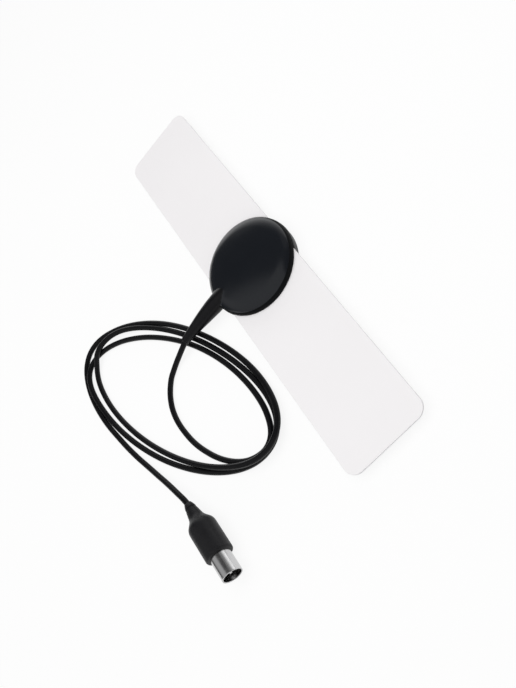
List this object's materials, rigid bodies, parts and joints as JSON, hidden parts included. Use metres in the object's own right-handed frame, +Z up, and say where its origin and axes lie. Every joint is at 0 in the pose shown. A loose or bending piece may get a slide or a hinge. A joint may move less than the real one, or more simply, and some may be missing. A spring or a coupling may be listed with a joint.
{
  "type": "tv antenna",
  "caption": "Flat indoor TV antenna: a white film panel clamped in a round hub, with a strain relief, a thin coaxial lead in loose turns and a push-on coaxial plug.",
  "frame": {"origin": "on the floor under the centre of the round hub", "axes": "+X along the panel, +Y across it away from the side where the lead leaves the hub, +Z up"},
  "size_m": [0.213, 0.1381, 0.013],
  "materials": {
    "white_film": "semi-matte printed film",
    "foil": "rolled foil",
    "black_cover": "satin moulded",
    "screw_steel": "zinc plated",
    "board": "green solder mask on glass fibre",
    "ferrite": "sintered",
    "copper_wire": "bare copper",
    "brass": "turned",
    "black_boot": "satin moulded",
    "black_jacket": "satin extruded",
    "braid": "tinned braid",
    "cable_insulation": "natural",
    "solder": "bright",
    "black_grip": "satin moulded",
    "nickel": "nickel plated",
    "plug_insulation": "moulded"
  },
  "bodies": {
    "root": {"panel_front_sheet": "white_film", "panel_back_sheet": "white_film", "dipole_arm_left": "foil", "dipole_arm_right": "foil", "front_cover": "black_cover", "back_cover": "black_cover", "cover_screws": "screw_steel", "balun_board": "board", "balun_core": "ferrite", "balun_winding": "copper_wire", "feed_eyelet_left": "brass", "feed_eyelet_right": "brass", "strain_relief": "black_boot", "cable_jacket_end": "black_jacket", "cable_braid_end": "braid", "cable_dielectric_end": "cable_insulation", "cable_conductor_end": "copper_wire", "centre_solder": "solder", "cord_lead_in": "black_jacket", "cord_coil": "black_jacket", "cord_tail": "black_jacket", "plug_body": "black_grip", "plug_crimp_ring": "brass", "plug_shell": "nickel", "plug_insulator": "plug_insulation", "plug_pin": "nickel"}
  },
  "joints": []
}
